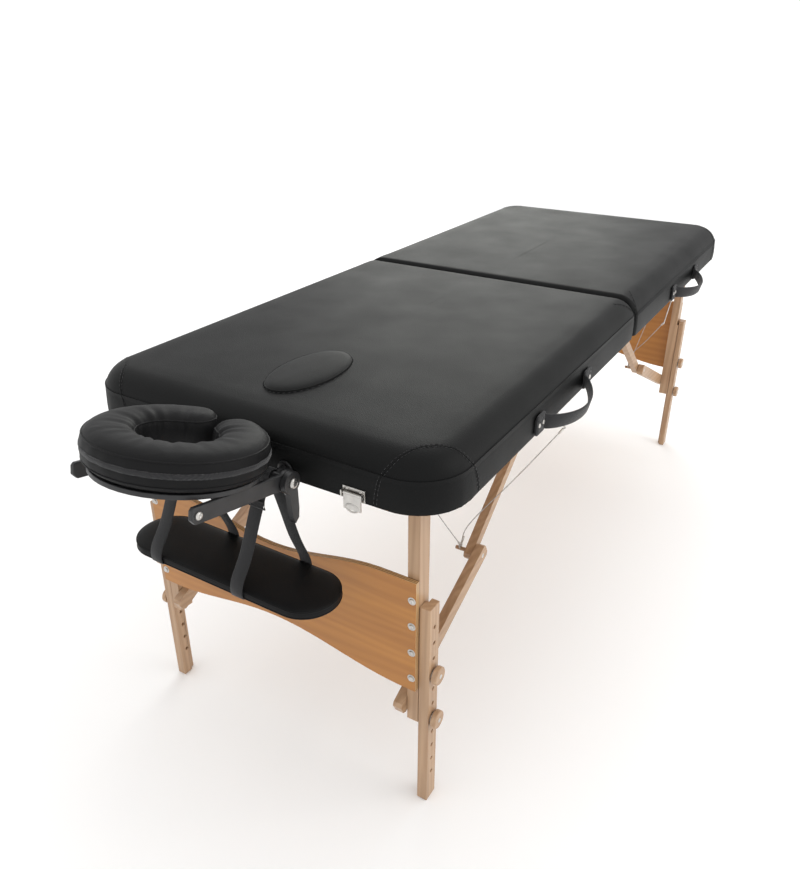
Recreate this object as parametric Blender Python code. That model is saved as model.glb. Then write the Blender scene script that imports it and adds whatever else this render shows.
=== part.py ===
"""A folding massage table on wooden legs, with a face cradle and an arm shelf on its head end.

Metres, +Z up. X runs along the table with the head end at -X, and the right side is -Y. The feet stand
on z = 0. The head and foot halves mirror each other, so most functions take end = HEAD or FOOT and
side = RIGHT or LEFT, which are the signs of x and y there.
"""

import math

import bmesh
import bpy
from mathutils import Matrix, Vector

HEAD, FOOT = -1, 1
RIGHT, LEFT = -1, 1
END_NAMES = {HEAD: "head", FOOT: "foot"}
SIDE_NAMES = {RIGHT: "right", LEFT: "left"}

# Overall size
LENGTH = 1.850
WIDTH = 0.747
HEIGHT = 0.760
UNDERSIDE = 0.669
CORNER = 0.090
TOP_ROLL = 0.051
MIDDLE_ROLL = 0.35
GAP = 0.0004

# Wooden frame of each half, covered by a thin vinyl skin on its outer faces
SKIN = 0.001
RAIL = 0.018
RAIL_TOP = 0.722
MIDDLE_GAP = 0.004
MIDDLE_CORNER = 0.014
DECK = 0.003
PAD_BASE = RAIL_TOP + DECK + GAP

# Breath hole and its plug
PLUG_X = -0.733
PLUG_HALF = (0.1045, 0.0575)
PLUG_PROUD = 0.009

# Leg posts, their extensions and the knobs that clamp them
LEG_X = 0.846
LEG_DEPTH = 0.032
LEG_INNER = 0.2815
LEG_OUTER = 0.3035
LEG_PIVOT_Z = 0.703
LEG_FOOT = 0.194
STEP_OUT = 0.0055
STEP_X = 0.006
EXTENSION_INNER = LEG_OUTER + 0.0065
EXTENSION_OUTER = 0.325
EXTENSION_TOP = 0.455
HOLE_PITCH = 0.0345
LOWEST_HOLE = 0.066
HOLES = 11
KNOB_HOLES = (4, 7)
BOLT_RADIUS = 0.003
HOLE_RADIUS = 0.0038
KNOB_RADIUS = 0.017
KNOB_THICKNESS = 0.011
PANEL = 0.010

# Folding struts. The strut pivot on the leg is placed so that the folded struts lie in one line.
STRUT_WIDTH = 0.0178
LOWER_STRUT_OUTER = LEG_INNER - 0.0008
UPPER_STRUT_OUTER = LOWER_STRUT_OUTER - STRUT_WIDTH - 0.0008
LOWER_STRUT_DEPTH = 0.031
UPPER_STRUT_DEPTH = 0.022
KNEE = (0.568, 0.368)
UPPER_STRUT_SLOPE = math.radians(39)
FRAME_PIVOT_X = KNEE[0] - (LEG_PIVOT_Z - KNEE[1]) / math.tan(UPPER_STRUT_SLOPE)
PIN_RADIUS = 0.004
PIN_CLEARANCE = 0.0006

# Centre hinge
HINGE_Z = UNDERSIDE - 0.0015
LEAF = 0.001
KNUCKLE_RADIUS = 0.003
HINGE_PIN_RADIUS = 0.0013

# Face cradle and arm shelf
OUTRIGGER_Y = 0.095
OUTRIGGER_RADIUS = 0.008
CRADLE_X = -0.955
CRADLE_Z = 0.685
CRADLE_TILT = math.radians(12)
CRADLE_ARM_Y = 0.118
CRADLE_ARM = 0.007
FACE_X = -1.0615
FACE_HALF = (0.130, 0.140)
FACE_THICKNESS = 0.058
SHELF_CENTRE = (-0.965, 0.0, 0.492)
SHELF_LENGTH = 0.420
SHELF_WIDTH = 0.116
SHELF_THICKNESS = 0.016

# Webbing handles
HANDLE_NEAR, HANDLE_FAR = 0.350, 0.563
HANDLE_Z = 0.690
HANDLE_REACH = 0.041
HANDLE_DROP = 0.011

MATERIALS = {
    "vinyl": ((0.018, 0.018, 0.020), 0.42, 0.0),
    "beech": ((0.62, 0.43, 0.27), 0.50, 0.0),
    "plywood": ((0.55, 0.27, 0.08), 0.42, 0.0),
    "steel": ((0.55, 0.53, 0.50), 0.35, 1.0),
    "black_steel": ((0.015, 0.015, 0.016), 0.38, 0.6),
    "black_plastic": ((0.020, 0.020, 0.022), 0.45, 0.0),
    "webbing": ((0.013, 0.013, 0.014), 0.85, 0.0),
    "cable": ((0.42, 0.41, 0.40), 0.40, 1.0),
}


# ---------------------------------------------------------------- mesh helpers


def clear_scene():
    for old in list(bpy.data.objects):
        bpy.data.objects.remove(old)


def material(name):
    colour, roughness, metallic = MATERIALS[name]
    made = bpy.data.materials.get(name) or bpy.data.materials.new(name)
    made.use_nodes = True
    shader = made.node_tree.nodes["Principled BSDF"]
    shader.inputs["Base Color"].default_value = (*colour, 1.0)
    shader.inputs["Roughness"].default_value = roughness
    shader.inputs["Metallic"].default_value = metallic
    return made


def add_node(name, bm, material_name, origin=(0.0, 0.0, 0.0)):
    """One named object, with its origin on its joint's axis where it moves."""
    bmesh.ops.remove_doubles(bm, verts=bm.verts, dist=1e-6)
    bmesh.ops.recalc_face_normals(bm, faces=bm.faces)
    bmesh.ops.translate(bm, verts=bm.verts, vec=-Vector(origin))
    mesh = bpy.data.meshes.new(name)
    bm.to_mesh(mesh)
    bm.free()
    mesh.materials.append(material(material_name))
    node = bpy.data.objects.new(name, mesh)
    node.location = origin
    bpy.context.scene.collection.objects.link(node)
    return node


def box(x, y, z):
    """A block between each pair of limits, given in either order."""
    bm = bmesh.new()
    low = Vector((min(x), min(y), min(z)))
    high = Vector((max(x), max(y), max(z)))
    place = Matrix.Translation((low + high) / 2) @ Matrix.Diagonal((*(high - low), 1.0))
    bmesh.ops.create_cube(bm, size=1.0, matrix=place)
    return bm


def loft(rings):
    """A closed solid through rings of equal length, with flat caps on the first and last."""
    bm = bmesh.new()
    rows = [[bm.verts.new(point) for point in ring] for ring in rings]
    count = len(rows[0])
    for low, high in zip(rows, rows[1:]):
        for i in range(count):
            j = (i + 1) % count
            bm.faces.new((low[i], low[j], high[j], high[i]))
    bm.faces.new(list(reversed(rows[0])))
    bm.faces.new(rows[-1])
    bmesh.ops.recalc_face_normals(bm, faces=bm.faces)
    return bm


def prism(outline, axis, start, stop):
    """The outline pushed along an axis. It lies in the other two axes, in X, Y, Z order."""

    def place(point, along):
        x, y = point
        return {"X": (along, x, y), "Y": (x, along, y), "Z": (x, y, along)}[axis]

    return loft([[place(point, along) for point in outline] for along in (start, stop)])


def cylinder(centre, axis, radius, start, stop, sides=16):
    """A round bar along an axis; centre is its place in the other two axes."""
    turn = 2 * math.pi / sides
    ring = [
        (centre[0] + radius * math.cos(i * turn), centre[1] + radius * math.sin(i * turn))
        for i in range(sides)
    ]
    return prism(ring, axis, start, stop)


def combine(first, second, operation):
    """The exact Boolean of two meshes. Both are used up."""
    pieces = []
    for bm in (first, second):
        mesh = bpy.data.meshes.new("piece")
        bmesh.ops.recalc_face_normals(bm, faces=bm.faces)
        bm.to_mesh(mesh)
        bm.free()
        pieces.append(bpy.data.objects.new("piece", mesh))
        bpy.context.scene.collection.objects.link(pieces[-1])
    modifier = pieces[0].modifiers.new("combine", "BOOLEAN")
    modifier.operation = operation
    modifier.solver = "EXACT"
    modifier.object = pieces[1]
    graph = bpy.context.evaluated_depsgraph_get()
    result = bmesh.new()
    result.from_object(pieces[0], graph)
    for piece in pieces:
        bpy.data.objects.remove(piece)
    return result


def join(first, second):
    return combine(first, second, "UNION")


def cut(first, second):
    return combine(first, second, "DIFFERENCE")


def rounded_rectangle(x, y, radii, steps=6):
    """An outline between x and y limits. radii holds the corner radius at the low and at the high x."""
    points = []
    low_x, high_x = min(x), max(x)
    low_y, high_y = min(y), max(y)
    corners = [
        (high_x - radii[1], high_y - radii[1], radii[1], 0.0),
        (low_x + radii[0], high_y - radii[0], radii[0], 90.0),
        (low_x + radii[0], low_y + radii[0], radii[0], 180.0),
        (high_x - radii[1], low_y + radii[1], radii[1], 270.0),
    ]
    for centre_x, centre_y, radius, first in corners:
        for step in range(steps + 1):
            angle = math.radians(first + 90.0 * step / steps)
            points.append((centre_x + radius * math.cos(angle), centre_y + radius * math.sin(angle)))
    return points


def ellipse(centre, half, count=32):
    turn = 2 * math.pi / count
    return [
        (centre[0] + half[0] * math.cos(i * turn), centre[1] + half[1] * math.sin(i * turn))
        for i in range(count)
    ]


def bar_outline(first, second, depth, first_end, second_end, chamfer=0.006):
    """A straight bar with clipped corners, reaching past two points by first_end and second_end."""
    start, stop = Vector(first), Vector(second)
    along = (stop - start).normalized()
    across = Vector((-along.y, along.x)) * depth / 2
    low, high = start - along * first_end, stop + along * second_end
    inset = across * (1 - 2 * chamfer / depth)
    return [
        low + across + along * chamfer,
        low + inset,
        low - inset,
        low - across + along * chamfer,
        high - across - along * chamfer,
        high - inset,
        high + inset,
        high + across - along * chamfer,
    ]


def sweep(path, section, frames):
    """A solid whose section (list of (u, v)) is carried along path; frames gives each point's u and v."""
    rings = []
    for point, (u_axis, v_axis) in zip(path, frames):
        rings.append([Vector(point) + u_axis * u + v_axis * v for u, v in section])
    return loft(rings)


def ribbon(path, width_axis, width, thickness):
    """A flat strap along path, its width along width_axis."""
    section = [
        (-width / 2, -thickness / 2),
        (width / 2, -thickness / 2),
        (width / 2, thickness / 2),
        (-width / 2, thickness / 2),
    ]
    points = [Vector(point) for point in path]
    frames = []
    for i, point in enumerate(points):
        ahead = points[min(i + 1, len(points) - 1)] - points[max(i - 1, 0)]
        across = Vector(width_axis)
        frames.append((across, ahead.cross(across).normalized()))
    return sweep(points, section, frames)


def wire(path, radius, sides=6):
    """A round wire along path."""
    points = [Vector(point) for point in path]
    turn = 2 * math.pi / sides
    section = [(radius * math.cos(i * turn), radius * math.sin(i * turn)) for i in range(sides)]
    frames = []
    across = Vector((0.0, 1.0, 0.0))
    for i, point in enumerate(points):
        ahead = (points[min(i + 1, len(points) - 1)] - points[max(i - 1, 0)]).normalized()
        across = (across - ahead * across.dot(ahead)).normalized()
        frames.append((across, ahead.cross(across)))
    return sweep(points, section, frames)


def node_name(*words):
    return "_".join(words)


# ---------------------------------------------------------------- table halves


def half_limits(end):
    return (end * MIDDLE_GAP, end * (LENGTH / 2 - SKIN))


def half_outline(end, inset=0.0, middle_inset=None, steps=6):
    """The outline of a half, drawn in by inset, or by middle_inset on the edge at the centre hinge."""
    outer, middle = CORNER - SKIN - inset, max(MIDDLE_CORNER - inset, 0.004)
    radii = (outer, middle) if end == HEAD else (middle, outer)
    middle_x, end_x = half_limits(end)
    if middle_inset is None:
        middle_inset = inset
    return rounded_rectangle(
        (middle_x + end * middle_inset, end_x - end * inset),
        (-(WIDTH / 2 - SKIN - inset), WIDTH / 2 - SKIN - inset),
        radii,
        steps,
    )


def add_frame(end):
    """Four rails with a thin board glued on top. The head one has the breath hole and two rod bores."""
    frame = prism(half_outline(end), "Z", UNDERSIDE, RAIL_TOP + DECK)
    frame = cut(frame, prism(half_outline(end, RAIL), "Z", UNDERSIDE - 0.01, RAIL_TOP))
    if end == HEAD:
        frame = cut(frame, plug_prism(0.0015, RAIL_TOP - 0.01, PAD_BASE + 0.01))
        for side in (RIGHT, LEFT):
            bore = cylinder(
                (side * OUTRIGGER_Y, CRADLE_Z), "X", OUTRIGGER_RADIUS + 0.0008, -1.0, -0.85
            )
            frame = cut(frame, bore)
    add_node(node_name(END_NAMES[end], "frame"), frame, "beech")


def plug_prism(margin, base, top):
    half = (PLUG_HALF[0] + margin, PLUG_HALF[1] + margin)
    return prism(ellipse((PLUG_X, 0.0), half), "Z", base, top)


def add_pad(end):
    """The foam pad, with the upper part of its rolled edge."""
    base_angle = math.asin((PAD_BASE - (HEIGHT - TOP_ROLL)) / TOP_ROLL)
    steps = 4
    rings = []
    for step in range(steps + 1):
        angle = base_angle + (math.pi / 2 - base_angle) * step / steps
        inset = TOP_ROLL * (1 - math.cos(angle))
        z = HEIGHT - TOP_ROLL + TOP_ROLL * math.sin(angle)
        outline = half_outline(end, inset, inset * MIDDLE_ROLL)
        rings.append([(x, y, z) for x, y in outline])
    pad = loft(rings)
    if end == HEAD:
        pad = cut(pad, plug_prism(0.0015, PAD_BASE - 0.01, HEIGHT + 0.01))
    add_node(node_name(END_NAMES[end], "pad"), pad, "vinyl")


def add_plug():
    add_node(
        "breath_plug",
        plug_prism(0.0, RAIL_TOP - 0.012, HEIGHT + PLUG_PROUD),
        "vinyl",
        (PLUG_X, 0.0, HEIGHT),
    )


def add_hanger_bar(end):
    """The cross bar that the legs hang from, with a bore for their pivot rod."""
    bar = box(
        (end * (LEG_X - 0.0070), end * (LEG_X + 0.050)),
        (-(LEG_INNER - 0.001), LEG_INNER - 0.001),
        (LEG_PIVOT_Z - 0.0085, RAIL_TOP - GAP),
    )
    bore = cylinder((end * LEG_X, LEG_PIVOT_Z), "Y", PIN_RADIUS + 0.0004, -LEG_OUTER, LEG_OUTER, 12)
    add_node(node_name(END_NAMES[end], "hanger_bar"), cut(bar, bore), "beech")


def add_leg_rod(end):
    """The steel rod through the hanger bar that both legs turn on."""
    rod = cylinder((end * LEG_X, LEG_PIVOT_Z), "Y", PIN_RADIUS, -LEG_OUTER, LEG_OUTER, 12)
    add_node(node_name(END_NAMES[end], "leg_rod"), rod, "steel", (end * LEG_X, 0.0, LEG_PIVOT_Z))


def add_strut_bar(end):
    """The cross bar near the middle, with a pivot bolt for each upper strut."""
    middle = FRAME_PIVOT_X - 0.016
    inner = UPPER_STRUT_OUTER - STRUT_WIDTH - 0.0008
    bar = box(
        (end * middle, end * (middle - 0.020)),
        (-(LEG_INNER - 0.004), LEG_INNER - 0.004),
        (UNDERSIDE + 0.004, RAIL_TOP - GAP),
    )
    for side in (RIGHT, LEFT):
        cheek = box(
            (end * (middle - 0.005), end * (FRAME_PIVOT_X + 0.009)),
            (side * inner, side * (inner - 0.006)),
            (LEG_PIVOT_Z - 0.010, LEG_PIVOT_Z + 0.010),
        )
        pin = cylinder(
            (end * FRAME_PIVOT_X, LEG_PIVOT_Z),
            "Y",
            PIN_RADIUS,
            side * (inner - 0.003),
            side * (UPPER_STRUT_OUTER + 0.004),
        )
        bar = join(join(bar, cheek), pin)
    add_node(node_name(END_NAMES[end], "strut_bar"), bar, "beech")


def add_hinge():
    """Two leaves under the middle rails and the loose pin in their knuckles."""
    half_width = 0.30
    knuckles = {
        HEAD: ((-half_width, -0.101), (0.101, half_width)),
        FOOT: ((-0.100, 0.100),),
    }
    leaf_top = UNDERSIDE - 0.0002
    for end, spans in knuckles.items():
        leaf = box(
            (end * 0.030, end * (KNUCKLE_RADIUS + 0.0005)),
            (-half_width, half_width),
            (leaf_top, leaf_top - LEAF),
        )
        for span in spans:
            tab = box((end * 0.010, end * 0.0023), span, (leaf_top, leaf_top - LEAF))
            leaf = join(leaf, join(tab, cylinder((0.0, HINGE_Z), "Y", KNUCKLE_RADIUS, *span)))
            leaf = cut(
                leaf,
                cylinder((0.0, HINGE_Z), "Y", HINGE_PIN_RADIUS + 0.0004, -half_width - 0.01, half_width + 0.01),
            )
        add_node(node_name("hinge_leaf", END_NAMES[end]), leaf, "steel")
    pin = cylinder((0.0, HINGE_Z), "Y", HINGE_PIN_RADIUS, -half_width - 0.002, half_width + 0.002)
    add_node("hinge_pin", pin, "steel", (0.0, 0.0, HINGE_Z))


# ---------------------------------------------------------------- legs and struts


def leg_strut_pivot_z():
    """Height of the lower strut's pivot on the leg, from the lengths that close when folded."""
    upper = math.hypot(KNEE[0] - FRAME_PIVOT_X, LEG_PIVOT_Z - KNEE[1])
    across = LEG_X - KNEE[0]
    reach = upper - (LEG_X - LEG_PIVOT_Z - FRAME_PIVOT_X)
    return (reach**2 - across**2 - KNEE[1] ** 2) / (2 * (reach - KNEE[1]))


def hole_height(number):
    """Height of an extension's hole, counted from the top."""
    return LOWEST_HOLE + (HOLES - number) * HOLE_PITCH


def leg_outline(end):
    """Side view of a leg post: a plain bar with a round head about its pivot."""
    half = LEG_DEPTH / 2
    steps = 10
    outline = [(end * LEG_X - half, LEG_FOOT), (end * LEG_X + half, LEG_FOOT)]
    for step in range(steps + 1):
        angle = math.pi * step / steps
        outline.append((end * LEG_X + half * math.cos(angle), LEG_PIVOT_Z + half * math.sin(angle)))
    return outline


def add_leg(end, side):
    """An upper leg post, with the rear half of its outer face stepped out to guide the extension."""
    leg = prism(leg_outline(end), "Y", side * LEG_INNER, side * LEG_OUTER)
    step = box(
        (end * (LEG_X - STEP_X), end * (LEG_X - LEG_DEPTH / 2)),
        (side * (LEG_OUTER - 0.003), side * (LEG_OUTER + STEP_OUT)),
        (LEG_FOOT, EXTENSION_TOP - 0.012),
    )
    leg = join(leg, step)
    holes = [(z, PIN_RADIUS + PIN_CLEARANCE) for z in (LEG_PIVOT_Z, leg_strut_pivot_z())]
    holes += [(hole_height(number), HOLE_RADIUS) for number in KNOB_HOLES]
    for z, radius in holes:
        through = cylinder((end * LEG_X, z), "Y", radius, side * 0.27, side * 0.32, 12)
        leg = cut(leg, through)
    name = node_name(END_NAMES[end], SIDE_NAMES[side], "leg")
    add_node(name, leg, "beech", (end * LEG_X, 0.0, LEG_PIVOT_Z))


def add_extension(end, side):
    """The sliding foot post: a flat bar with a thick front strip, and its row of holes."""
    half = LEG_DEPTH / 2
    strip_inner = LEG_OUTER + 0.0007
    outline = [
        (end * (LEG_X + half), side * EXTENSION_OUTER),
        (end * (LEG_X + half), side * strip_inner),
        (end * (LEG_X - STEP_X + 0.0008), side * strip_inner),
        (end * (LEG_X - STEP_X + 0.0008), side * EXTENSION_INNER),
        (end * (LEG_X - half), side * EXTENSION_INNER),
        (end * (LEG_X - half), side * EXTENSION_OUTER),
    ]
    post = prism(outline, "Z", 0.0, EXTENSION_TOP)
    for number in range(1, HOLES + 1):
        hole = cylinder((end * LEG_X, hole_height(number)), "Y", HOLE_RADIUS, side * 0.29, side * 0.34, 8)
        post = cut(post, hole)
    add_node(node_name(END_NAMES[end], SIDE_NAMES[side], "extension"), post, "beech")


def add_knob(end, side, number, label):
    """A wooden disc knob on the bolt that clamps the extension to the leg."""
    z = hole_height(number)
    face = EXTENSION_OUTER + 0.003
    rim = 0.0015
    turn = 2 * math.pi / 20
    rings = []
    for y, radius in (
        (LEG_INNER + 0.001, BOLT_RADIUS),
        (face, BOLT_RADIUS),
        (face, KNOB_RADIUS - rim),
        (face + rim, KNOB_RADIUS),
        (face + KNOB_THICKNESS - rim, KNOB_RADIUS),
        (face + KNOB_THICKNESS, KNOB_RADIUS - rim),
    ):
        rings.append(
            [
                (end * LEG_X + radius * math.cos(i * turn), side * y, z + radius * math.sin(i * turn))
                for i in range(20)
            ]
        )
    name = node_name(END_NAMES[end], SIDE_NAMES[side], "knob", label)
    add_node(name, loft(rings), "beech", (end * LEG_X, 0.0, z))


def scoop(y, reach):
    """From 1 in the middle to 0 at reach and beyond."""
    return 0.5 + 0.5 * math.cos(math.pi * min(abs(y) / reach, 1.0))


def add_leg_panel(end):
    """The plywood panel across the outside of a pair of legs, scooped above and arched below."""
    half_width = LEG_OUTER
    steps = 24
    ys = [half_width * (2 * i / steps - 1) for i in range(steps + 1)]
    top = [(y, 0.508 - 0.034 * scoop(y, 0.235)) for y in ys]
    bottom = [(y, 0.276 + 0.034 * scoop(y, 0.280)) for y in reversed(ys)]
    face = LEG_X + LEG_DEPTH / 2 + GAP
    panel = prism(top + bottom, "X", end * face, end * (face + PANEL))
    add_node(node_name(END_NAMES[end], "leg_panel"), panel, "plywood", (end * LEG_X, 0.0, LEG_PIVOT_Z))


def add_lower_strut(end, side):
    """The lower strut, with its pivot pin in the leg and a hole where the knee bolt belongs."""
    pivot = (end * LEG_X, leg_strut_pivot_z())
    knee = (end * KNEE[0], KNEE[1])
    inner = LOWER_STRUT_OUTER - STRUT_WIDTH
    strut = prism(
        bar_outline(pivot, knee, LOWER_STRUT_DEPTH, 0.034, 0.018),
        "Y",
        side * inner,
        side * LOWER_STRUT_OUTER,
    )
    pin = cylinder(pivot, "Y", PIN_RADIUS, side * (inner + 0.004), side * (LEG_OUTER - 0.001), 12)
    strut = join(strut, pin)
    hole = cylinder(knee, "Y", PIN_RADIUS + PIN_CLEARANCE, side * 0.25, side * 0.30, 12)
    name = node_name(END_NAMES[end], SIDE_NAMES[side], "lower_strut")
    add_node(name, cut(strut, hole), "beech", (pivot[0], 0.0, pivot[1]))


def add_upper_strut(end, side):
    """The upper strut, with the knee bolt that carries the cable's eye. The knee is the open pivot, so
    the bolt stops short of the lower strut."""
    pivot = (end * FRAME_PIVOT_X, LEG_PIVOT_Z)
    knee = (end * KNEE[0], KNEE[1])
    inner = UPPER_STRUT_OUTER - STRUT_WIDTH
    strut = prism(
        bar_outline(pivot, knee, UPPER_STRUT_DEPTH, 0.012, 0.015),
        "Y",
        side * inner,
        side * UPPER_STRUT_OUTER,
    )
    bolt = cylinder(knee, "Y", PIN_RADIUS, side * (inner - 0.024), side * (inner + 0.010), 12)
    strut = join(strut, bolt)
    hole = cylinder(pivot, "Y", PIN_RADIUS + PIN_CLEARANCE, side * 0.22, side * 0.28, 12)
    name = node_name(END_NAMES[end], SIDE_NAMES[side], "upper_strut")
    add_node(name, cut(strut, hole), "beech", (pivot[0], 0.0, pivot[1]))


def cable_route(end, side):
    """From the hanger bar down to the knee bolt's eye, up to its hook and back to the rail."""
    knee_y = UPPER_STRUT_OUTER - STRUT_WIDTH - 0.013
    knee = Vector((end * KNEE[0], side * knee_y, KNEE[1] + PIN_RADIUS + 0.0025))
    top = Vector((end * (LEG_X - 0.008), side * 0.266, LEG_PIVOT_Z - 0.010))
    hook = Vector((end * 0.377, side * 0.357, 0.593))
    rail = Vector((end * 0.452, side * 0.357, UNDERSIDE - 0.001))
    over_strut = knee + Vector((-end * 0.026, side * 0.006, 0.040))
    bend = Vector((end * 0.006, 0.0, -0.002))
    return [
        top,
        knee + (top - knee).normalized() * 0.012,
        knee,
        over_strut,
        hook + (knee - hook).normalized() * 0.010,
        hook - bend * 0.4,
        hook + (rail - hook).normalized() * 0.008 + Vector((0.0, 0.0, 0.004)),
        rail,
    ]


def add_cable(end, side):
    name = node_name(END_NAMES[end], SIDE_NAMES[side], "cable")
    add_node(name, wire(cable_route(end, side), 0.0013), "cable")


# ---------------------------------------------------------------- fittings on the table


def add_latch(side):
    """A draw latch on the head end: a plate with two ears, and the lever that swings between them."""
    y = side * 0.226
    face = -LENGTH / 2 - 0.0003
    axis = (face - 0.0075, 0.682)
    base = box((face, face - 0.0025), (y - 0.020, y + 0.020), (0.6705, 0.6915))
    for edge in (-1, 1):
        ear = box(
            (face - 0.001, face - 0.011),
            (y + edge * 0.0170, y + edge * 0.0190),
            (0.6765, 0.6875),
        )
        base = join(base, ear)
        bore = cylinder(axis, "Y", 0.0018, y + edge * 0.014, y + edge * 0.022, 12)
        base = cut(base, bore)
    add_node(node_name("latch", SIDE_NAMES[side], "base"), base, "steel")
    lever = box((face - 0.0055, face - 0.0085), (y - 0.0155, y + 0.0155), (0.6560, 0.6850))
    lever = join(lever, cylinder(axis, "Y", 0.0013, y - 0.0195, y + 0.0195, 12))
    add_node(node_name("latch", SIDE_NAMES[side], "lever"), lever, "steel", (axis[0], y, axis[1]))


def handle_path(end):
    """The strap's bow between its two patches, out from the side and a little down."""
    steps = 14
    side_y = -(WIDTH / 2 + 0.0035)
    path = []
    for step in range(steps + 1):
        share = step / steps
        bow = math.sin(math.pi * share) ** 0.7
        x = end * (HANDLE_FAR + (HANDLE_NEAR - HANDLE_FAR) * share)
        path.append((x, side_y - HANDLE_REACH * bow, HANDLE_Z - HANDLE_DROP * bow))
    return path


def add_handle(end):
    """A webbing carry handle on the right side rail, with a stitched patch at each end."""
    strap = ribbon(handle_path(end), (0.0, 0.0, 1.0), 0.026, 0.005)
    for x in (HANDLE_NEAR, HANDLE_FAR):
        outward = end * (0.012 if x == HANDLE_FAR else -0.012)
        patch = box(
            (end * x - 0.020 + outward, end * x + 0.020 + outward),
            (-(WIDTH / 2 + 0.0005), -(WIDTH / 2 + 0.0055)),
            (HANDLE_Z - 0.018, HANDLE_Z + 0.018),
        )
        strap = join(strap, patch)
    add_node(
        node_name(END_NAMES[end], "handle"), strap, "webbing", (0.0, -(WIDTH / 2 + 0.003), HANDLE_Z)
    )


# ---------------------------------------------------------------- face cradle


def tilted(x, z):
    """A point given along and across the tilted cradle arm, from its pivot, in world x and z."""
    along_x, along_z = -math.cos(CRADLE_TILT), math.sin(CRADLE_TILT)
    return (CRADLE_X + x * along_x + z * along_z, CRADLE_Z + x * along_z - z * along_x)


def add_cradle_frame():
    """Two outrigger rods that slide in the end rail, and the cross tube that joins them."""
    tube = cylinder((CRADLE_X, CRADLE_Z), "Y", 0.010, -0.1125, 0.1125, 20)
    for side in (RIGHT, LEFT):
        rod = cylinder((side * OUTRIGGER_Y, CRADLE_Z), "X", OUTRIGGER_RADIUS, CRADLE_X, -0.800)
        tube = join(tube, rod)
        stub = cylinder((CRADLE_X, CRADLE_Z), "Y", 0.004, side * 0.100, side * 0.138, 12)
        tube = join(tube, stub)
    add_node("cradle_frame", tube, "black_steel")


def add_cradle_arm(side):
    """A flat side arm with a round head at its pivot."""
    steps = 12
    head_radius, half_depth, length = 0.018, 0.013, 0.198
    start = math.asin(half_depth / head_radius)
    outline = []
    for step in range(steps + 1):
        angle = start + (2 * math.pi - 2 * start) * step / steps
        outline.append(tilted(head_radius * math.cos(angle), head_radius * math.sin(angle)))
    outline.append(tilted(length - 0.008, -half_depth))
    outline.append(tilted(length, -half_depth + 0.008))
    outline.append(tilted(length, half_depth - 0.004))
    outline.append(tilted(length - 0.004, half_depth))
    inner, outer = side * (CRADLE_ARM_Y - CRADLE_ARM / 2), side * (CRADLE_ARM_Y + CRADLE_ARM / 2)
    arm = prism(outline, "Y", inner, outer)
    bore = cylinder((CRADLE_X, CRADLE_Z), "Y", 0.0046, side * 0.10, side * 0.14, 12)
    name = node_name("cradle_arm", SIDE_NAMES[side])
    add_node(name, cut(arm, bore), "black_plastic", (CRADLE_X, 0.0, CRADLE_Z))


def horseshoe(half, arm_width, mouth, count=40):
    """A closed horseshoe outline, open towards the table, as (along, y) from its centre."""
    inner = (half[0] - arm_width, half[1] - arm_width)
    gap = math.asin(mouth / half[1])
    points = []
    for i in range(count + 1):
        angle = gap + (2 * math.pi - 2 * gap) * i / count
        points.append((half[0] * math.cos(angle), half[1] * math.sin(angle)))
    inner_gap = math.asin(mouth / inner[1]) * 0.9
    for i in range(count + 1):
        angle = 2 * math.pi - inner_gap - (2 * math.pi - 2 * inner_gap) * i / count
        points.append((inner[0] * math.cos(angle), inner[1] * math.sin(angle)))
    return points


def cradle_ring(outline, height):
    """A horseshoe outline laid on the tilted cradle, at a height above its arms' centre line."""
    centre = (CRADLE_X - FACE_X) / math.cos(CRADLE_TILT)
    ring = []
    for along, y in outline:
        x, z = tilted(centre - along, height)
        ring.append((x, y, z))
    return ring


def add_cradle_platform():
    board = loft(
        [cradle_ring(horseshoe((0.122, 0.128), 0.062, 0.030), height) for height in (0.0148, 0.0225)]
    )
    add_node("cradle_platform", board, "black_plastic", (CRADLE_X, 0.0, CRADLE_Z))


def add_face_cushion():
    """The horseshoe cushion as a plain solid with softened edges."""
    base = 0.0235
    layers = ((0.0, 0.010), (0.010, 0.0), (FACE_THICKNESS - 0.014, 0.0), (FACE_THICKNESS, 0.014))
    rings = []
    for height, inset in layers:
        half = (FACE_HALF[0] - inset, FACE_HALF[1] - inset)
        outline = horseshoe(half, 0.078 - 2 * inset, 0.026 + inset * 0.5)
        rings.append(cradle_ring(outline, base + height))
    add_node("face_cushion", loft(rings), "vinyl", (CRADLE_X, 0.0, CRADLE_Z))


def add_cam(side):
    """A round cam with its hanging lever, on the end of the cross tube."""
    inner, outer = side * (CRADLE_ARM_Y + CRADLE_ARM / 2 + 0.001), side * (CRADLE_ARM_Y + 0.0145)
    cam = cylinder((CRADLE_X, CRADLE_Z), "Y", 0.0185, inner, outer, 20)
    lever = prism(
        [
            (CRADLE_X - 0.010, CRADLE_Z),
            (CRADLE_X - 0.004, CRADLE_Z - 0.060),
            (CRADLE_X + 0.001, CRADLE_Z - 0.073),
            (CRADLE_X + 0.010, CRADLE_Z - 0.066),
            (CRADLE_X + 0.012, CRADLE_Z - 0.050),
            (CRADLE_X + 0.011, CRADLE_Z),
        ],
        "Y",
        inner,
        outer,
    )
    cam = join(cam, lever)
    bore = cylinder((CRADLE_X, CRADLE_Z), "Y", 0.0046, side * 0.10, side * 0.15, 12)
    name = node_name("cradle_cam", SIDE_NAMES[side])
    add_node(name, cut(cam, bore), "black_plastic", (CRADLE_X, 0.0, CRADLE_Z))


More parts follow.
